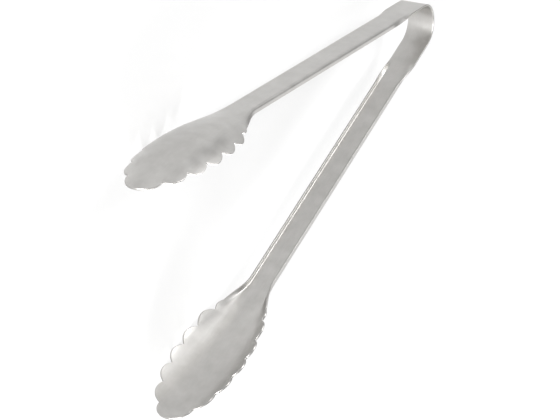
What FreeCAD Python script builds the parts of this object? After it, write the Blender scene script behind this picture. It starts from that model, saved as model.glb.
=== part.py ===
import FreeCAD, Part
import math
import os
import Sketcher

# One-piece spring tongs, lying on their side: +X from the bow to the claws, +Z across the strip,
# the two arms open to +Y (left) and -Y (right). A single formed strip of sheet, laid out here as the
# zones it works by: the bow's crown, its two shoulders, two flat spring leaves, and on each side the
# run-out where the flanges fold up, a channelled arm, a flared throat and a scalloped claw.

os.makedirs("parts", exist_ok=True)
doc = FreeCAD.newDocument("SpringTongs")
Vector = FreeCAD.Vector
Placement = FreeCAD.Placement
Rotation = FreeCAD.Rotation

# Driving dimensions, mm and degrees

drivingSizes = [
    ("stripThickness", 1.0, "gauge of the sheet, everywhere"),
    ("bowRadius", 13.0, "outer radius of the bow"),
    ("openAngle", 12.1, "angle of each arm from the middle plane, at rest"),
    ("crownAngle", 60.0, "arc of the bow taken by its crown"),
    ("bandWidth", 15.6, "width of the flat strip at the bow and the leaves"),
    ("leafLength", 17.0, "flat spring leaf, from the bow to the first fold"),
    ("runoutLength", 21.0, "length over which the flanges fold up"),
    ("channelLength", 153.0, "full channel, from the run-out to the throat"),
    ("webWidth", 13.7, "outside width of the channel"),
    ("flangeHeight", 3.2, "outside height of the channel"),
    ("foldRadius", 1.3, "outside radius of the folds"),
    ("throatLength", 27.0, "flare from the channel to the claw's first notch"),
    ("shoulderBulge", 0.9, "small rounded shoulder ahead of the first notch"),
    ("shoulderLength", 7.0, "length of that shoulder"),
    ("scallopRun", 67.1, "first notch to last notch, along the claw"),
    ("scallopDepth", 2.9, "rise of each scallop above the line of the notches"),
    ("tipLength", 9.6, "last notch to the end of the tip lobe"),
    ("notchHalfWidth", 17.9, "half width over the notches at the widest place"),
    ("notchWidestAt", 28.9, "first notch to the widest place"),
    ("notchHalfLength", 45.1, "half length of the oval that the notches lie on"),
    ("bowlEntryRadius", 21.7, "cross radius of the bowl at its first notch"),
    ("bowlFrontRadius", 31.3, "cross radius of the bowl at its front"),
    ("bowlRadiusRun", 38.7, "length over which the cross radius opens"),
    ("bowlDip", 2.4, "how far the bowl's back stands out past the arm"),
    ("bowlLowestAt", 14.1, "first notch to the place where the back stands out most"),
    ("tipSweepRadius", 183.5, "lengthwise radius that brings the tip inwards"),
]
scallopCount = 5

sheet = doc.addObject("Spreadsheet::Sheet", "Sizes")
for row, (alias, value, note) in enumerate(drivingSizes, start=1):
    sheet.set("A%d" % row, alias)
    sheet.set("B%d" % row, str(value))
    sheet.set("C%d" % row, note)
    sheet.setAlias("B%d" % row, alias)
doc.recompute()
size = {alias: float(sheet.get(alias)) for alias, value, note in drivingSizes}

thickness = size["stripThickness"]
openAngle = math.radians(size["openAngle"])
channelStart = size["leafLength"] + size["runoutLength"]
throatStart = channelStart + size["channelLength"]
firstNotch = throatStart + size["throatLength"]
lastNotch = firstNotch + size["scallopRun"]
tipEnd = lastNotch + size["tipLength"]
bowlLowest = firstNotch + size["bowlLowestAt"]
flatHalfWidth = size["bandWidth"] / 2


# Shape of the formed strip
# An arm's own frame: x along the arm from the bow, rise inwards from the web's outer face,
# z across. A point of a cross section is (z, rise); the arm's own y axis points outwards.

def smooth(share):
    """Eased share between 0 and 1."""
    share = min(max(share, 0.0), 1.0)
    return share * share * (3 - 2 * share)


def notchWidth(x):
    """Half width of the oval that the notches lie on."""
    offset = (x - firstNotch - size["notchWidestAt"]) / size["notchHalfLength"]
    return size["notchHalfWidth"] * math.sqrt(max(1 - offset * offset, 0.0))


def backRise(x):
    """Rise of the strip's outer face on the middle line."""
    if x < bowlLowest:
        return -size["bowlDip"] * smooth((x - throatStart) / (bowlLowest - throatStart))
    return -size["bowlDip"] + (x - bowlLowest) ** 2 / (2 * size["tipSweepRadius"])


def crossRadius(x):
    """Outside radius of the bowl's cross section."""
    left = 1 - min(max((x - firstNotch) / size["bowlRadiusRun"], 0.0), 1.0)
    return size["bowlFrontRadius"] - (size["bowlFrontRadius"] - size["bowlEntryRadius"]) * left * left


webEnd = size["webWidth"] / 2 - size["foldRadius"]
foldLength = size["foldRadius"] * math.pi / 2
channelHalfLength = webEnd + foldLength + size["flangeHeight"] - size["foldRadius"]
foldPlaces = [webEnd + foldLength * step / 4 for step in range(5)]
sectionPlaces = [0.0, webEnd / 2] + foldPlaces + [(foldPlaces[-1] + channelHalfLength) / 2, channelHalfLength]
sectionShares = [place / channelHalfLength for place in sectionPlaces]


def foldedHalf(share):
    """Outer face of half a section folded part of the way from flat strip to full channel."""
    radius = size["foldRadius"]
    turn = share * math.pi / 2
    length = flatHalfWidth + share * (channelHalfLength - flatHalfWidth)
    points = []
    for place in sectionShares:
        run = place * length
        fold = min(max((run - webEnd) / radius, 0.0), turn)
        flange = max(run - webEnd - radius * turn, 0.0)
        points.append((min(run, webEnd) + radius * math.sin(fold) + flange * math.cos(turn),
                       radius * (1 - math.cos(fold)) + flange * math.sin(turn)))
    return points


def arcHalf(x, halfWidth):
    """Outer face of half a bowl section, a circular arc out to halfWidth."""
    radius = crossRadius(x)
    widest = math.asin(halfWidth / radius)
    return [(radius * math.sin(widest * share), backRise(x) + radius * (1 - math.cos(widest * share)))
            for share in sectionShares]


def blendHalf(first, second, share):
    """Half section between two others."""
    return [((1 - share) * a[0] + share * b[0], (1 - share) * a[1] + share * b[1])
            for a, b in zip(first, second)]


def mirrored(half):
    """Whole section from its half, rim to rim."""
    return [(-z, rise) for z, rise in reversed(half[1:])] + half


def innerFace(outer):
    """The section's inner face: its outer face moved inwards by the sheet's thickness."""
    inner = []
    last = len(outer) - 1
    for index, (z, rise) in enumerate(outer):
        before = outer[max(index - 1, 0)]
        after = outer[min(index + 1, last)]
        run = math.dist(before, after)
        inner.append((z - thickness * (after[1] - before[1]) / run,
                      rise + thickness * (after[0] - before[0]) / run))
    return inner


def sectionWire(x, outer):
    """Closed section of the sheet at x, of two curves and two rim edges."""
    shares = [-share for share in reversed(sectionShares[1:])] + sectionShares
    curves = []
    for face in (outer, innerFace(outer)):
        curve = Part.BSplineCurve()
        curve.interpolate(Points=[Vector(x, -rise, z) for z, rise in face], Parameters=shares)
        curves.append(curve.toShape())
    ends = [(curve.valueAt(curve.FirstParameter), curve.valueAt(curve.LastParameter)) for curve in curves]
    firstRim = Part.LineSegment(ends[0][0], ends[1][0]).toShape()
    lastRim = Part.LineSegment(ends[0][1], ends[1][1]).toShape()
    return Part.Wire([curves[0], lastRim, curves[1], firstRim])


def stations(start, end, count):
    """Evenly spaced places along the arm."""
    return [start + (end - start) * step / (count - 1) for step in range(count)]


def runoutShape():
    """Flat strip folding up into a channel."""
    wires = []
    for x in stations(size["leafLength"], channelStart, 8):
        wires.append(sectionWire(x, mirrored(foldedHalf((x - size["leafLength"]) / size["runoutLength"]))))
    return Part.makeLoft(wires, True, False)


def throatShape():
    """Channel flaring into the bowl, with a small shoulder ahead of the first notch."""
    wires = []
    for x in stations(throatStart, firstNotch, 9):
        along = (x - firstNotch + size["shoulderLength"]) / size["shoulderLength"]
        bulge = size["shoulderBulge"] * 4 * along * (1 - along) if along > 0 else 0.0
        bowlSection = arcHalf(x, notchWidth(firstNotch) + bulge)
        share = smooth((x - throatStart) / size["throatLength"])
        wires.append(sectionWire(x, mirrored(blendHalf(foldedHalf(1.0), bowlSection, share))))
    return Part.makeLoft(wires, True, False)


def bowlShape():
    """The claw's bowl before its edge is cut: wider than the scallops all round."""
    margin = size["scallopDepth"] + 1
    wires = []
    for x in stations(firstNotch, tipEnd + 1, 9):
        halfWidth = max(notchWidth(x), notchWidth(lastNotch)) + margin
        half = arcHalf(x, min(halfWidth, 0.9 * crossRadius(x)))
        wires.append(sectionWire(x, mirrored(half)))
    return Part.makeLoft(wires, True, False)


def clawOutline():
    """The claw's edge in plan: scallops between equally spaced notches, and a round tip lobe."""
    notches = [(x, notchWidth(x)) for x in stations(firstNotch, lastNotch, scallopCount + 1)]
    edges = []
    for side in (1, -1):
        for (x0, z0), (x1, z1) in zip(notches, notches[1:]):
            chord = math.hypot(x1 - x0, z1 - z0)
            crest = Vector((x0 + x1) / 2 - (z1 - z0) / chord * size["scallopDepth"], 0,
                           side * ((z0 + z1) / 2 + (x1 - x0) / chord * size["scallopDepth"]))
            edges.append(Part.Arc(Vector(x0, 0, side * z0), crest, Vector(x1, 0, side * z1)).toShape())
    tipWidth = notches[-1][1]
    edges.append(Part.Arc(Vector(lastNotch, 0, tipWidth), Vector(tipEnd, 0, 0),
                          Vector(lastNotch, 0, -tipWidth)).toShape())
    edges.append(Part.LineSegment(Vector(firstNotch, 0, notches[0][1]),
                                  Vector(firstNotch, 0, -notches[0][1])).toShape())
    return Part.Face(Part.Wire(Part.sortEdges(edges)[0]))


# Places of the zones

outlineFace = clawOutline()
middleHeight = outlineFace.BoundBox.ZMax
tipReach = (tipEnd * math.cos(openAngle)
            - (size["bowRadius"] - backRise(tipEnd) - thickness) * math.sin(openAngle))
bowAxis = Vector(-(tipReach - size["bowRadius"]) / 2, 0, middleHeight)


def bowPlace(angle):
    """A zone of the bow, turned about the bow's axis."""
    return Placement(bowAxis, Rotation(Vector(0, 0, 1), angle))


def armPlace(side, x):
    """An arm's own frame, x further along; the right arm is the left one turned over."""
    turn = Rotation(Vector(0, 0, 1), side * size["openAngle"])
    if side < 0:
        turn = turn.multiply(Rotation(Vector(1, 0, 0), 180))
    root = bowAxis + Vector(-math.sin(openAngle), side * math.cos(openAngle), 0) * size["bowRadius"]
    return Placement(root, turn).multiply(Placement(Vector(x, 0, 0), Rotation()))


# Sub-parts

def plane(body, role):
    """One of the body's own origin planes."""
    return [feature for feature in body.Origin.OriginFeatures if feature.Role == role][0]


def newSketch(body, name, role):
    """A sketch on one of the body's origin planes."""
    sketch = body.newObject("Sketcher::SketchObject", name)
    sketch.AttachmentSupport = [(plane(body, role), "")]
    sketch.MapMode = "FlatFace"
    return sketch


def bind(sketch, constraint, name, expression):
    """Adds a named dimension and ties it to the sheet."""
    index = sketch.addConstraint(constraint)
    sketch.renameConstraint(index, name)
    sketch.setExpression("Constraints." + name, expression)


def bowZone(label, sweepExpression, sweep, angle):
    """A stretch of the bow: a ring sector as wide as the band."""
    body = doc.addObject("PartDesign::Body", label)
    sketch = newSketch(body, label + "_profile", "XY_Plane")
    half = math.radians(sweep) / 2
    outer = size["bowRadius"]
    inner = outer - thickness
    up = Vector(0, 0, 1)
    sketch.addGeometry([
        Part.ArcOfCircle(Part.Circle(Vector(), up, outer), -half, half),
        Part.ArcOfCircle(Part.Circle(Vector(), up, inner), -half, half),
        Part.LineSegment(Vector(inner * math.cos(half), -inner * math.sin(half), 0),
                         Vector(outer * math.cos(half), -outer * math.sin(half), 0)),
        Part.LineSegment(Vector(inner * math.cos(half), inner * math.sin(half), 0),
                         Vector(outer * math.cos(half), outer * math.sin(half), 0))], False)
    start, end, centre = 1, 2, 3
    sketch.addConstraint([
        Sketcher.Constraint("Coincident", 0, centre, -1, 1),
        Sketcher.Constraint("Coincident", 1, centre, -1, 1),
        Sketcher.Constraint("Coincident", 2, end, 0, start),
        Sketcher.Constraint("Coincident", 2, start, 1, start),
        Sketcher.Constraint("Coincident", 3, end, 0, end),
        Sketcher.Constraint("Coincident", 3, start, 1, end),
        Sketcher.Constraint("PointOnObject", -1, 1, 2),
        Sketcher.Constraint("PointOnObject", -1, 1, 3)])
    bind(sketch, Sketcher.Constraint("Radius", 0, outer), "outside", "Sizes.bowRadius")
    bind(sketch, Sketcher.Constraint("Radius", 1, inner), "inside", "Sizes.bowRadius - Sizes.stripThickness")
    bind(sketch, Sketcher.Constraint("Angle", 2, -half), "lowEdge", "-(" + sweepExpression + ") / 2")
    bind(sketch, Sketcher.Constraint("Angle", 3, half), "highEdge", "(" + sweepExpression + ") / 2")
    pad = body.newObject("PartDesign::Pad", label + "_pad")
    pad.Profile = sketch
    pad.Midplane = True
    pad.setExpression("Length", "Sizes.bandWidth")
    body.Tip = pad
    body.Placement = bowPlace(angle)
    return body


def springLeaf(label, side):
    """Flat stretch of the strip between the bow and the channel."""
    leaf = doc.addObject("Part::Box", label)
    leaf.setExpression("Length", "Sizes.leafLength")
    leaf.setExpression("Width", "Sizes.stripThickness")
    leaf.setExpression("Height", "Sizes.bandWidth")
    leaf.Placement = armPlace(side, 0).multiply(Placement(Vector(0, -thickness, -flatHalfWidth), Rotation()))
    return leaf


def channelArm(label, side):
    """The full channel: web and two upright flanges, folds rounded inside and outside."""
    body = doc.addObject("PartDesign::Body", label)
    sketch = newSketch(body, label + "_profile", "YZ_Plane")
    half = size["webWidth"] / 2
    deep = -size["flangeHeight"]
    corners = [(0, -half), (0, half), (deep, half), (deep, half - thickness),
               (-thickness, half - thickness), (-thickness, thickness - half),
               (deep, thickness - half), (deep, -half)]
    count = len(corners)
    for index, corner in enumerate(corners):
        following = corners[(index + 1) % count]
        sketch.addGeometry(Part.LineSegment(Vector(*corner, 0), Vector(*following, 0)), False)
    for index in range(count):
        sketch.addConstraint(Sketcher.Constraint("Coincident", index, 2, (index + 1) % count, 1))
        sketch.addConstraint(Sketcher.Constraint("Vertical" if index % 2 == 0 else "Horizontal", index))
    sketch.addConstraint(Sketcher.Constraint("Symmetric", 0, 1, 0, 2, -1, 1))
    sketch.addConstraint(Sketcher.Constraint("Equal", 2, 6))
    sketch.addConstraint(Sketcher.Constraint("Equal", 1, 7))
    bind(sketch, Sketcher.Constraint("DistanceY", 0, 1, 0, 2, 2 * half), "web", "Sizes.webWidth")
    bind(sketch, Sketcher.Constraint("DistanceX", 1, 2, 1, 1, -deep), "flange", "Sizes.flangeHeight")
    bind(sketch, Sketcher.Constraint("DistanceY", 2, 2, 2, 1, thickness), "rim", "Sizes.stripThickness")
    bind(sketch, Sketcher.Constraint("DistanceX", 4, 1, 0, 2, thickness), "gauge", "Sizes.stripThickness")
    pad = body.newObject("PartDesign::Pad", label + "_pad")
    pad.Profile = sketch
    pad.setExpression("Length", "Sizes.channelLength")
    doc.recompute()
    tip = pad
    for where, reach, expression in (("outside", 0.0, "Sizes.foldRadius"),
                                     ("inside", thickness, "Sizes.foldRadius - Sizes.stripThickness")):
        folds = []
        for index, edge in enumerate(tip.Shape.Edges, start=1):
            middle = edge.valueAt((edge.FirstParameter + edge.LastParameter) / 2)
            onFold = abs(middle.y + reach) < 0.01 and abs(abs(middle.z) - half + reach) < 0.01
            if onFold and edge.BoundBox.XLength > size["channelLength"] / 2:
                folds.append("Edge%d" % index)
        fillet = body.newObject("PartDesign::Fillet", label + "_" + where)
        fillet.Base = (tip, folds)
        fillet.setExpression("Radius", expression)
        doc.recompute()
        tip = fillet
    body.Tip = tip
    body.Placement = armPlace(side, channelStart)
    return body


def formedZone(label, shape, side):
    """A stretch of formed sheet that no primitive gives, in the arm's own frame."""
    zone = doc.addObject("Part::Feature", label)
    zone.Shape = shape
    zone.Placement = armPlace(side, 0)
    return zone


def clawNode(label, side):
    """The bowl, cut to its scalloped edge."""
    outline = formedZone(label + "_outline", outlineFace, side)
    cutter = doc.addObject("Part::Extrusion", label + "_cutter")
    cutter.Base = outline
    cutter.DirMode = "Custom"
    cutter.Dir = armPlace(side, 0).Rotation.multVec(Vector(0, -1, 0))
    cutter.LengthFwd = 2 * size["notchHalfWidth"]
    cutter.LengthRev = size["notchHalfWidth"]
    cutter.Solid = True
    claw = doc.addObject("Part::Common", label)
    claw.Base = formedZone(label + "_bowl", bowlShape(), side)
    claw.Tool = cutter
    return claw


shoulderAngle = 90 - size["openAngle"] - size["crownAngle"] / 2
nodes = [bowZone("bow_crown", "Sizes.crownAngle", size["crownAngle"], 180)]
for side, name in ((1, "left"), (-1, "right")):
    shoulderMiddle = side * (90 + size["openAngle"] + shoulderAngle / 2)
    nodes.append(bowZone(name + "_bow_shoulder", "90 - Sizes.openAngle - Sizes.crownAngle / 2",
                         shoulderAngle, shoulderMiddle))
    nodes.append(springLeaf(name + "_spring_leaf", side))
    nodes.append(formedZone(name + "_fold_runout", runoutShape(), side))
    nodes.append(channelArm(name + "_arm", side))
    nodes.append(formedZone(name + "_throat", throatShape(), side))
    nodes.append(clawNode(name + "_claw", side))
doc.recompute()

# Checks and export

failed = [item.Label for item in doc.Objects if "Invalid" in item.State or "Error" in item.State]
if failed:
    raise RuntimeError("failed features: " + ", ".join(failed))
for node in nodes:
    if node.Shape.isNull() or not node.Shape.isValid() or not node.Shape.Solids:
        raise RuntimeError("bad shape: " + node.Label)

whole = Part.makeCompound([node.Shape for node in nodes])
box = whole.optimalBoundingBox(False)
print("bow axis at x %.3f, z %.3f" % (bowAxis.x, bowAxis.z))
print("box %.2f..%.2f, %.2f..%.2f, %.2f..%.2f" % (box.XMin, box.XMax, box.YMin, box.YMax, box.ZMin, box.ZMax))
for node in nodes:
    node.Shape.exportStep("parts/%s.step" % node.Label)
    print("%-22s %9.2f mm3, %d solid" % (node.Label, node.Shape.Volume, len(node.Shape.Solids)))
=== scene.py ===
import math

import bmesh
import bpy
from mathutils import Matrix, Vector


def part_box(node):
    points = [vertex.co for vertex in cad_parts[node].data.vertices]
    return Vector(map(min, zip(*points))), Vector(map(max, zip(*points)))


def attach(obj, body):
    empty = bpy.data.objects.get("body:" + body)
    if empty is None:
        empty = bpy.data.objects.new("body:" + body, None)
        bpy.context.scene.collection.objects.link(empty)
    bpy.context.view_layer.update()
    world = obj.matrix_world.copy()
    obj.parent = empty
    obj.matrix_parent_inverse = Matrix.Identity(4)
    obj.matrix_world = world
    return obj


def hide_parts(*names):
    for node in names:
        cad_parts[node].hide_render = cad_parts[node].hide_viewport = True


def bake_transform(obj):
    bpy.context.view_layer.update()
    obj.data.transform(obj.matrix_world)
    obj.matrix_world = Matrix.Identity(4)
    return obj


# One-piece spring tongs: a single satin steel strip, bent round a bow into two channelled arms that
# end in scalloped claws. The CAD zones are all stretches of that strip, so every piece here is a
# stretch of one rule, and neighbours meet on the same vertices.

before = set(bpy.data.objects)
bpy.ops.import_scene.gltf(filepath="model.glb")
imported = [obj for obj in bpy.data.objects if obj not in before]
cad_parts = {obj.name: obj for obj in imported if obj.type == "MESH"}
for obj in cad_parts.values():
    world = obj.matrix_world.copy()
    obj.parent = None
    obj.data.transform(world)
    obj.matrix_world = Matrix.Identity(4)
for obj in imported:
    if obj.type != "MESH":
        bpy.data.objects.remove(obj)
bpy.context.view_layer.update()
mm = 0.001


# values and nodes

class Value:
    # wraps an output socket, so that arithmetic on it adds Math nodes to its tree
    def __init__(self, graph, socket):
        self.graph = graph
        self.socket = socket

    def maths(self, operation, *others):
        return self.graph.maths(operation, self, *others)

    def __add__(self, other):
        return self.graph.maths("ADD", self, other)

    def __radd__(self, other):
        return self.graph.maths("ADD", other, self)

    def __sub__(self, other):
        return self.graph.maths("SUBTRACT", self, other)

    def __rsub__(self, other):
        return self.graph.maths("SUBTRACT", other, self)

    def __mul__(self, other):
        return self.graph.maths("MULTIPLY", self, other)

    def __rmul__(self, other):
        return self.graph.maths("MULTIPLY", other, self)

    def __truediv__(self, other):
        return self.graph.maths("DIVIDE", self, other)

    def __rtruediv__(self, other):
        return self.graph.maths("DIVIDE", other, self)

    def __pow__(self, other):
        return self.graph.maths("POWER", self, other)

    def __neg__(self):
        return self.graph.maths("MULTIPLY", self, -1.0)

    def atLeast(self, other):
        return self.graph.maths("MAXIMUM", self, other)

    def atMost(self, other):
        return self.graph.maths("MINIMUM", self, other)

    def clamped(self):
        return self.atLeast(0.0).atMost(1.0)

    def eased(self):
        share = self.clamped()
        return share * share * (3.0 - 2.0 * share)


class Graph:
    # a node tree, and the one way that nodes are added to it
    def __init__(self, tree):
        self.tree = tree

    def add(self, kind, settings=None, inputs=None, output=0):
        node = self.tree.nodes.new(kind)
        for name, value in (settings or {}).items():
            setattr(node, name, value)
        for name, value in (inputs or {}).items():
            self.feed(node.inputs[name], value)
        return Value(self, node.outputs[output]) if len(node.outputs) else node

    def feed(self, place, value):
        if isinstance(value, Value):
            self.tree.links.new(value.socket, place)
        else:
            place.default_value = value

    def maths(self, operation, *values):
        return self.add("ShaderNodeMath", {"operation": operation}, dict(enumerate(values)))


def mixed(first, second, share):
    return first + (second - first) * share


# the formed strip

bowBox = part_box("bow_crown")
strip = {
    "thickness": 1.0 * mm,
    "edge rounding": 0.3 * mm,      # how far the rounded rim reaches in from the edge
    "bow radius": 13.0 * mm,
    "open angle": math.radians(12.1),
    "band width": 15.6 * mm,
    "leaf length": 17.0 * mm,
    "runout length": 21.0 * mm,
    "channel length": 153.0 * mm,
    "web width": 13.7 * mm,
    "flange height": 3.2 * mm,
    "fold radius": 1.3 * mm,
    "throat length": 27.0 * mm,
    "shoulder bulge": 0.9 * mm,
    "shoulder length": 7.0 * mm,
    "scallop run": 67.1 * mm,
    "scallop depth": 2.9 * mm,
    "tip length": 9.6 * mm,
    "notch half width": 17.9 * mm,
    "notch widest at": 28.9 * mm,
    "notch half length": 45.1 * mm,
    "bowl entry radius": 21.7 * mm,
    "bowl front radius": 31.3 * mm,
    "bowl radius run": 38.7 * mm,
    "bowl dip": 2.4 * mm,
    "bowl lowest at": 14.1 * mm,
    "tip sweep radius": 183.5 * mm,
}
strip["bow x"] = bowBox[0].x + strip["bow radius"]
strip["bow z"] = (bowBox[0].z + bowBox[1].z) / 2
mesh = {
    "scallops": 5,
    "faceSteps": 44,       # round one face of the section, two short ones beside the rims among them
    "rimSteps": 8,         # round a rim
    "shortShare": 0.012,   # those short steps, as a share of the half width
    "rimPower": 2 / 3,     # squareness of the rounded rim
    "fanPower": 6.0,       # how closely the rows follow the scallops only near the rim
    "scallopRows": 14,
    "tipRows": 22,
    "bowRows": 40,
    "heelRows": 40,
    "armRows": 240,
    "throatRows": 44,
    "notchShare": 0.01,    # share of a scallop, beside each notch, where the rim faces straight out
    "mergeWithin": 0.001 * mm,
}
turnSteps = mesh["faceSteps"] + mesh["rimSteps"]
loopPoints = 2 * turnSteps + 1

channelStart = strip["leaf length"] + strip["runout length"]
throatStart = channelStart + strip["channel length"]
firstNotch = throatStart + strip["throat length"]
bowTurn = math.pi / 2 - strip["open angle"]      # from an arm's root to the bow's middle
crownAngle = math.radians(60.0)                  # the top of the bow, which stays still
crownHalf = crownAngle / 2
bowMiddle = -strip["bow radius"] * bowTurn
shoulderMiddle = -strip["bow radius"] * (bowTurn - crownHalf) / 2
leafMiddle = strip["leaf length"] / 2


def sectionLoop(graph):
    # where a vertex is round the section: its share across, its depth through the sheet, and how
    # far it stands out past the faces' borders
    index = graph.add("GeometryNodeInputIndex")
    around = index.maths("MODULO", float(loopPoints))
    row = ((index + 0.5) / float(loopPoints)).maths("FLOOR")
    wayBack = (around / float(turnSteps)).maths("FLOOR").atMost(1.0)
    step = around - wayBack * float(turnSteps)
    facing = 1.0 - 2.0 * wayBack
    face = ((step - 1.0) / float(mesh["faceSteps"] - 2)).clamped()
    short = (step - float(mesh["faceSteps"] - 1)).clamped() - (1.0 - step).clamped()
    across = facing * ((2.0 * face - 1.0) * (1.0 - mesh["shortShare"]) + short * mesh["shortShare"])
    turn = ((step - float(mesh["faceSteps"])) / float(mesh["rimSteps"])).clamped() * math.pi - math.pi / 2
    outward = turn.maths("COSINE").atLeast(0.0) ** mesh["rimPower"]
    lift = turn.maths("SINE")
    depth = lift.maths("SIGN") * lift.maths("ABSOLUTE") ** mesh["rimPower"]
    through = wayBack + facing * (0.5 + 0.5 * depth)
    return row, across, through, outward


def notchWidth(x, size):
    offset = (x - size["first notch"] - size["notch widest at"]) / size["notch half length"]
    return size["notch half width"] * (1.0 - offset * offset).atLeast(0.0).maths("SQRT")


def rimOutline(graph, size, x):
    # point and outward direction of the claw's edge in plan, at the row that starts at x
    pitch = size["scallop run"] / float(mesh["scallops"])
    place = (x - size["first notch"]) / pitch
    scallop = place.maths("FLOOR").atLeast(0.0).atMost(mesh["scallops"] - 1.0)
    share = (place - scallop).clamped()
    startX = size["first notch"] + scallop * pitch
    startZ = notchWidth(startX, size)
    endZ = notchWidth(startX + pitch, size)
    rise = endZ - startZ
    chord = (pitch * pitch + rise * rise).maths("SQRT")
    alongX, alongZ = pitch / chord, rise / chord
    depth = size["scallop depth"]
    radius = chord * chord / (8.0 * depth) + depth / 2.0
    halfTurn = (chord / (2.0 * radius)).maths("ARCSINE")
    turn = halfTurn * (2.0 * share - 1.0)
    drop = radius - depth                        # the arc's centre, in from its chord
    rimX = startX + pitch / 2.0 + alongZ * drop + radius * (alongX * turn.maths("SINE")
                                                           - alongZ * turn.maths("COSINE"))
    rimZ = startZ + rise / 2.0 - alongX * drop + radius * (alongZ * turn.maths("SINE")
                                                          + alongX * turn.maths("COSINE"))
    onArc = ((share - mesh["notchShare"]).maths("SIGN").clamped()
             * (1.0 - mesh["notchShare"] - share).maths("SIGN").clamped())
    tilt = turn * onArc                          # at a notch the rim faces straight out
    outX = alongX * tilt.maths("SINE") - alongZ * tilt.maths("COSINE")
    outZ = alongZ * tilt.maths("SINE") + alongX * tilt.maths("COSINE")
    return rimX, rimZ, outX, outZ


def tipOutline(graph, size, share):
    # the same on the tip lobe, an arc from the last notch to the claw's end
    width = notchWidth(size["last notch"], size)
    length = size["tip length"]
    radius = (width * width + length * length) / (2.0 * length)
    centre = size["last notch"] + length - radius
    start = graph.maths("ARCTAN2", width, size["last notch"] - centre)
    turn = start * (1.0 - share)
    outX, outZ = turn.maths("COSINE"), turn.maths("SINE")
    return centre + radius * outX, radius * outZ, outX, outZ


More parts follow.
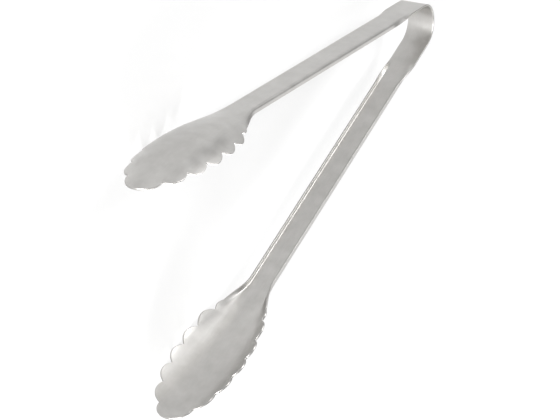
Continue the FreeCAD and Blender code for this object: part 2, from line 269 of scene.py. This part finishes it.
def stripTree():
    tree = bpy.data.node_groups.new("formedStrip", "GeometryNodeTree")
    interface = tree.interface
    interface.new_socket(name="Mesh", in_out="OUTPUT", socket_type="NodeSocketGeometry")
    for name in strip:
        interface.new_socket(name=name, in_out="INPUT", socket_type="NodeSocketFloat")
    for name in ("from", "to", "straight rows", "side"):
        interface.new_socket(name=name, in_out="INPUT", socket_type="NodeSocketFloat")
    interface.new_socket(name="row count", in_out="INPUT", socket_type="NodeSocketInt")
    interface.new_socket(name="material", in_out="INPUT", socket_type="NodeSocketMaterial")
    graph = Graph(tree)
    given = tree.nodes.new("NodeGroupInput")
    size = {socket.name: Value(graph, socket) for socket in given.outputs if socket.name}
    size["channel start"] = size["leaf length"] + size["runout length"]
    size["throat start"] = size["channel start"] + size["channel length"]
    size["first notch"] = size["throat start"] + size["throat length"]
    size["last notch"] = size["first notch"] + size["scallop run"]

    row, across, through, outward = sectionLoop(graph)
    edge = size["edge rounding"]
    side = across.maths("SIGN")
    out = across.maths("ABSOLUTE")
    bulge = edge * outward

    # station along the strip: straight rows first, then the scallops' rows and the tip's
    rowsLeft = row - size["straight rows"]
    scallopRows = float(mesh["scallops"] * mesh["scallopRows"])
    scallopShare = (rowsLeft / scallopRows).clamped()
    tipShare = ((rowsLeft - scallopRows) / float(mesh["tipRows"])).clamped()
    station = (mixed(size["from"], size["to"], (row / size["straight rows"]).clamped())
               + size["scallop run"] * scallopShare)
    onClaw = (rowsLeft - 0.5).maths("SIGN").clamped()
    onTip = (rowsLeft - scallopRows - 0.5).maths("SIGN").clamped()

    # the claw's rows fan out near the rim, to meet the scalloped edge squarely
    arcX, arcZ, arcOutX, arcOutZ = rimOutline(graph, size, station)
    lobeX, lobeZ, lobeOutX, lobeOutZ = tipOutline(graph, size, tipShare)
    rimX, rimZ = mixed(arcX, lobeX, onTip), mixed(arcZ, lobeZ, onTip)
    outX, outZ = mixed(arcOutX, lobeOutX, onTip), mixed(arcOutZ, lobeOutZ, onTip)
    fan = out ** mesh["fanPower"]
    rowX = mixed(station, lobeX - lobeOutX * edge, onTip)
    clawX = mixed(rowX, rimX - outX * (edge - bulge), fan)
    x = mixed(station, clawX, onClaw)

    # bowl section: a circular arc that opens towards the front
    opening = 1.0 - ((x - size["first notch"]) / size["bowl radius run"]).clamped()
    spread = size["bowl front radius"] - size["bowl entry radius"]
    radius = size["bowl front radius"] - spread * opening * opening
    rowZ = mixed(notchWidth(station, size), lobeZ, onTip)
    rowOutZ = mixed(1.0, lobeOutZ, onTip)
    rowTurn = (rowZ / radius).maths("ARCSINE") - rowOutZ * edge / radius
    rimTurn = (rimZ / radius).maths("ARCSINE") - outZ * (edge - bulge) / radius
    clawTurn = out * mixed(rowTurn, rimTurn, fan)
    ahead = (x - size["first notch"] + size["shoulder length"]) / size["shoulder length"]
    shoulder = size["shoulder bulge"] * 4.0 * ahead.clamped() * (1.0 - ahead.clamped())
    throatWidth = notchWidth(size["first notch"], size) + shoulder
    throatTurn = (throatWidth / radius).maths("ARCSINE")
    throatTurn = (out * (throatTurn * radius - edge) + bulge) / radius
    bowlTurn = mixed(throatTurn, clawTurn, onClaw)
    lowest = size["first notch"] + size["bowl lowest at"]
    sinking = ((x - size["throat start"]) / (lowest - size["throat start"])).eased()
    past = (x - lowest).atLeast(0.0)
    back = past * past / (2.0 * size["tip sweep radius"]) - size["bowl dip"] * sinking
    bowlZ = radius * bowlTurn.maths("SINE")
    bowlRise = back + radius * (1.0 - bowlTurn.maths("COSINE"))

    # flat strip whose edges fold up into flanges over the run-out
    webEnd = size["web width"] / 2.0 - size["fold radius"]
    foldRadius = size["fold radius"]
    channelLength = webEnd + foldRadius * (math.pi / 2 - 1.0) + size["flange height"]
    folded = ((x - size["leaf length"]) / size["runout length"]).clamped()
    foldTurn = folded * (math.pi / 2)
    length = mixed(size["band width"] / 2.0, channelLength, folded)
    run = out * (length - edge) + bulge
    fold = ((run - webEnd) / foldRadius).atLeast(0.0).atMost(foldTurn)
    flange = (run - webEnd - foldRadius * foldTurn).atLeast(0.0)
    foldedZ = run.atMost(webEnd) + foldRadius * fold.maths("SINE") + flange * foldTurn.maths("COSINE")
    foldedRise = foldRadius * (1.0 - fold.maths("COSINE")) + flange * foldTurn.maths("SINE")

    # channel to bowl over the throat
    flared = ((x - size["throat start"]) / size["throat length"]).eased()
    outerZ = mixed(foldedZ, bowlZ, flared)
    outerRise = mixed(foldedRise, bowlRise, flared)
    developed = mixed(run, bowlTurn * radius, flared)
    bowlLength = size["notch half width"]
    slopeZ = mixed(length * fold.maths("COSINE"), bowlLength * bowlTurn.maths("COSINE"), flared)
    slopeRise = mixed(length * fold.maths("SINE"), bowlLength * bowlTurn.maths("SINE"), flared)
    slope = (slopeZ * slopeZ + slopeRise * slopeRise).maths("SQRT")
    deep = size["thickness"] * through
    z = side * (outerZ - deep * slopeRise / slope)
    rise = outerRise + deep * slopeZ / slope

    # behind its root the strip goes round the bow, and the whole side is turned to its open angle
    bowAngle = (-x).atLeast(0.0) / size["bow radius"]
    reach = size["bow radius"] - rise
    armX = x.atLeast(0.0) - reach * bowAngle.maths("SINE")
    armY = reach * bowAngle.maths("COSINE")
    sine, cosine = size["open angle"].maths("SINE"), size["open angle"].maths("COSINE")
    position = graph.add("ShaderNodeCombineXYZ", None, {
        "X": size["bow x"] - sine * armY + cosine * armX,
        "Y": size["side"] * (cosine * armY + sine * armX),
        "Z": size["bow z"] + size["side"] * z})
    onStrip = graph.add("ShaderNodeCombineXYZ", None, {"X": x, "Y": side * developed, "Z": outward})

    grid = graph.add("GeometryNodeMeshGrid", None, {
        "Vertices X": size["row count"], "Vertices Y": loopPoints})
    shape = graph.add("GeometryNodeStoreNamedAttribute", {"data_type": "FLOAT_VECTOR", "domain": "POINT"},
                      {"Geometry": grid, "Name": "onStrip", "Value": onStrip})
    shape = graph.add("GeometryNodeSetPosition", None, {"Geometry": shape, "Position": position})
    shape = graph.add("GeometryNodeMergeByDistance", None, {
        "Geometry": shape, "Distance": mesh["mergeWithin"]})
    shape = graph.add("GeometryNodeFlipFaces", None, {"Mesh": shape})
    shape = graph.add("GeometryNodeSetShadeSmooth", None, {"Geometry": shape})
    shape = graph.add("GeometryNodeRealizeInstances", None, {"Geometry": shape})
    shape = graph.add("GeometryNodeSetMaterial", None, {"Geometry": shape, "Material": size["material"]})
    result = tree.nodes.new("NodeGroupOutput")
    tree.links.new(shape.socket, result.inputs["Mesh"])
    return tree


def stripPiece(name, tree, start, end, rows, side, steel, claw=False):
    # one stretch of the strip as a closed plain mesh
    extraRows = mesh["scallops"] * mesh["scallopRows"] + mesh["tipRows"] if claw else 0
    values = dict(strip)
    values.update({"from": start, "to": end, "straight rows": float(rows), "side": float(side),
                   "row count": rows + extraRows + 1, "material": steel})
    piece = bpy.data.objects.new(name, bpy.data.meshes.new(name + "Start"))
    bpy.context.scene.collection.objects.link(piece)
    modifier = piece.modifiers.new("formedStrip", "NODES")
    modifier.node_group = tree
    for item in tree.interface.items_tree:
        if item.in_out == "INPUT":
            modifier[item.identifier] = values[item.name]
    depsgraph = bpy.context.evaluated_depsgraph_get()
    made = bpy.data.meshes.new_from_object(piece.evaluated_get(depsgraph), preserve_all_data_layers=True,
                                           depsgraph=depsgraph)
    piece.modifiers.remove(modifier)
    piece.data = made
    made.name = name
    closeEnds(made)
    return piece


def closeEnds(made):
    # a flat face over each open end, with a sharp border
    work = bmesh.new()
    work.from_mesh(made)
    border = [edge for edge in work.edges if edge.is_boundary]
    for edge in border:
        edge.smooth = False
    bmesh.ops.edgenet_fill(work, edges=border)
    bmesh.ops.triangulate(work, faces=[face for face in work.faces if len(face.verts) > 4])
    print("   closed:", all(edge.is_manifold for edge in work.edges), "volume mm3:",
          round(work.calc_volume(signed=True) / mm ** 3, 1), "faces:", len(work.faces))
    work.to_mesh(made)
    work.free()


# satin stainless steel

satin = {
    "shade": (0.380, 0.371, 0.357),
    "light": (0.555, 0.547, 0.533),
    # the rims are given a darker colour than the faces: painted shade, a dark outline that also damps their
    # glare
    "rimPaintedShade": (0.38, 0.373, 0.36),
    "roughness": 0.33,
    "edgeRoughness": 0.36,
    "grainLength": 9 * mm,
    "grainWidth": 0.16 * mm,
    "grainHeight": 0.004 * mm,
    "grainDetail": 3.0,
    "grainFineness": 0.6,
    "grainBump": 0.35,
    "grainTone": 0.8,          # how far the grain moves the colour from shade to light
    "grainGloss": 0.10,        # and the roughness
    "mottle": 8 * mm,
    "mottleDetail": 4.0,
    "mottleFineness": 0.55,
    "mottleTone": 1.0,
    "mottleGloss": 0.12,
}


def satinSteel():
    steel = bpy.data.materials.new("satinStainless")
    steel.use_nodes = True
    graph = Graph(steel.node_tree)
    shader = steel.node_tree.nodes["Principled BSDF"]
    shader.inputs["Metallic"].default_value = 1.0
    where = graph.add("ShaderNodeAttribute", {"attribute_name": "onStrip"}, None, "Vector")
    parts = steel.node_tree.nodes.new("ShaderNodeSeparateXYZ")
    graph.feed(parts.inputs[0], where)
    along, developed, outward = (Value(graph, socket) for socket in parts.outputs)
    fine = graph.add("ShaderNodeCombineXYZ", None, {
        "X": along / satin["grainLength"], "Y": developed / satin["grainWidth"]})
    grain = graph.add("ShaderNodeTexNoise", None, {
        "Vector": fine, "Scale": 1.0, "Detail": satin["grainDetail"], "Roughness": satin["grainFineness"]})
    place = graph.add("ShaderNodeTexCoord", None, None, "Object")
    mottle = graph.add("ShaderNodeTexNoise", None, {
        "Vector": place, "Scale": 1.0 / satin["mottle"],
        "Detail": satin["mottleDetail"], "Roughness": satin["mottleFineness"]})
    onRim = outward.clamped()
    rough = satin["roughness"] + (grain - 0.5) * satin["grainGloss"] + (mottle - 0.5) * satin["mottleGloss"]
    rough = mixed(rough, satin["edgeRoughness"], onRim)
    graph.feed(shader.inputs["Roughness"], rough)
    tone = (0.5 + (mottle - 0.5) * satin["mottleTone"] + (grain - 0.5) * satin["grainTone"]).clamped()
    colour = graph.add("ShaderNodeMix", {"data_type": "RGBA"}, {
        0: tone, 6: satin["shade"] + (1.0,), 7: satin["light"] + (1.0,)}, 2)
    # the rounded rims take the darker rim colour, which is painted shade along the edges
    colour = graph.add("ShaderNodeMix", {"data_type": "RGBA"}, {
        0: onRim, 6: colour, 7: satin["rimPaintedShade"] + (1.0,)}, 2)
    graph.feed(shader.inputs["Base Color"], colour)
    bump = graph.add("ShaderNodeBump", None, {
        "Strength": satin["grainBump"], "Distance": satin["grainHeight"], "Height": grain})
    graph.feed(shader.inputs["Normal"], bump)
    return steel


# pieces

def stripPoint(x, side):
    # middle of the strip's inner face at x
    reach = strip["bow radius"] - strip["thickness"]
    turn = max(-x, 0.0) / strip["bow radius"]
    armX = max(x, 0.0) - reach * math.sin(turn)
    armY = reach * math.cos(turn)
    sine, cosine = math.sin(strip["open angle"]), math.cos(strip["open angle"])
    return (strip["bow x"] - sine * armY + cosine * armX,
            side * (cosine * armY + sine * armX),
            strip["bow z"])


steel = satinSteel()
tree = stripTree()
bendEnd = 2 * strip["leaf length"] - leafMiddle
for sideName, side in (("left", 1), ("right", -1)):
    print("strip pieces,", sideName)
    bow = stripPiece(sideName + "Bow", tree, bowMiddle, shoulderMiddle, mesh["bowRows"], side, steel)
    stripPoint(bowMiddle, side)
    stripPoint(shoulderMiddle, side)
    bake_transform(bow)
    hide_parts("bow_crown")
    heel = stripPiece(sideName + "Heel", tree, shoulderMiddle, leafMiddle, mesh["heelRows"], side, steel)
    stripPoint(shoulderMiddle, side)
    stripPoint(leafMiddle, side)
    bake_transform(heel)
    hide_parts(sideName + "_bow_shoulder")
    arm = stripPiece(sideName + "Arm", tree, leafMiddle, throatStart, mesh["armRows"], side, steel)
    stripPoint(leafMiddle, side)
    stripPoint(bendEnd, side)
    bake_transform(arm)
    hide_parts(sideName + "_spring_leaf", sideName + "_fold_runout", sideName + "_arm")
    claw = stripPiece(sideName + "Claw", tree, throatStart, firstNotch, mesh["throatRows"], side, steel,
                      claw=True)
    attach(claw, sideName + "_jaw")
    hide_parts(sideName + "_throat", sideName + "_claw")


# floor, light and camera

studio = {
    "floorSide": 6.0,
    "floorColour": (0.40, 0.40, 0.40),
    "floorRoughness": 0.9,
    "floorGlow": 0.37,       # the floor gives off light itself, so shadows on it stay faint
    "world": 0.535,
    "panelReach": 2.2,       # how far the round light panels stand from the middle
    "panelWidth": 0.95,
    # direction from the middle, and watts. These rows came from a least-squares lighting solve, and some
    # were then changed, so they aren't a plain studio set-up.
    "panels": {
        "frontLow": ((0.838, -0.533, 0.113), 85.0),
        "frontSide": ((0.953, -0.210, 0.218), 55.0),
        "leftFront": ((0.463, 0.808, 0.363), 43.5),
        "leftBack": ((-0.258, 0.958, 0.126), 31.5),
        "rightLow": ((-0.456, -0.879, 0.139), 0.6),
        "rightSide": ((-0.125, -0.962, 0.245), 2.15),
        "rightHigh": ((-0.308, -0.856, 0.416), 2.4),
        "rightBackLow": ((-0.609, -0.730, 0.310), 1.1),
        "rightBack": ((-0.693, -0.536, 0.482), 3.0),
        "backHigh": ((-0.457, -0.464, 0.759), 21.0),
        "backLeft": ((-0.720, 0.540, 0.430), 2.3),
        "backLow": ((-0.980, -0.173, 0.099), 0.9),
        "overhead": ((0.441, 0.187, 0.878), 4.5),
    },
}


def paleFloor():
    half = studio["floorSide"] / 2
    made = bpy.data.meshes.new("floor")
    corners = [(-half, -half, 0), (half, -half, 0), (half, half, 0), (-half, half, 0)]
    made.from_pydata(corners, [], [(0, 1, 2, 3)])
    floor = bpy.data.objects.new("floor", made)
    bpy.context.scene.collection.objects.link(floor)
    paint = bpy.data.materials.new("palePaper")
    paint.use_nodes = True
    shader = paint.node_tree.nodes["Principled BSDF"]
    shader.inputs["Base Color"].default_value = studio["floorColour"] + (1.0,)
    shader.inputs["Roughness"].default_value = studio["floorRoughness"]
    shader.inputs["Specular IOR Level"].default_value = 0.0
    shader.inputs["Emission Color"].default_value = (1.0, 1.0, 1.0, 1.0)
    shader.inputs["Emission Strength"].default_value = studio["floorGlow"]
    made.materials.append(paint)


def lightPanel(name, towards, watts):
    light = bpy.data.lights.new(name, "AREA")
    light.shape = "DISK"
    light.size = studio["panelWidth"]
    light.energy = watts
    holder = bpy.data.objects.new(name, light)
    bpy.context.scene.collection.objects.link(holder)
    holder.location = Vector(towards).normalized() * studio["panelReach"]
    holder.rotation_mode = "QUATERNION"
    holder.rotation_quaternion = (-Vector(towards)).to_track_quat("-Z", "Y")


def studioWorld():
    world = bpy.data.worlds.new("studio")
    bpy.context.scene.world = world
    world.use_nodes = True
    world.node_tree.nodes["Background"].inputs["Color"].default_value = (1.0, 1.0, 1.0, 1.0)
    world.node_tree.nodes["Background"].inputs["Strength"].default_value = studio["world"]


camera = {
    "place": (0.98245, -0.69179, 0.59495),
    "aim": (0.02011, 0.02536, 0.01865),
    "roll": 102.004,
    "lens": 167.13,
    "film": 36.0,
    "nearest": 0.05,
    "furthest": 20.0,
}


def photographer():
    eye = bpy.data.cameras.new("camera")
    eye.sensor_width = camera["film"]
    eye.lens = camera["lens"]
    eye.clip_start = camera["nearest"]
    eye.clip_end = camera["furthest"]
    holder = bpy.data.objects.new("camera", eye)
    bpy.context.scene.collection.objects.link(holder)
    gaze = Vector(camera["aim"]) - Vector(camera["place"])
    level = gaze.to_track_quat("-Z", "Y").to_matrix()
    turned = level @ Matrix.Rotation(math.radians(camera["roll"]), 3, "Z")
    holder.matrix_world = Matrix.Translation(camera["place"]) @ turned.to_4x4()
    bpy.context.scene.camera = holder


print("studio")
paleFloor()
studioWorld()
for name, (towards, watts) in studio["panels"].items():
    lightPanel(name, towards, watts)
photographer()
bpy.context.scene.view_settings.view_transform = "Standard"
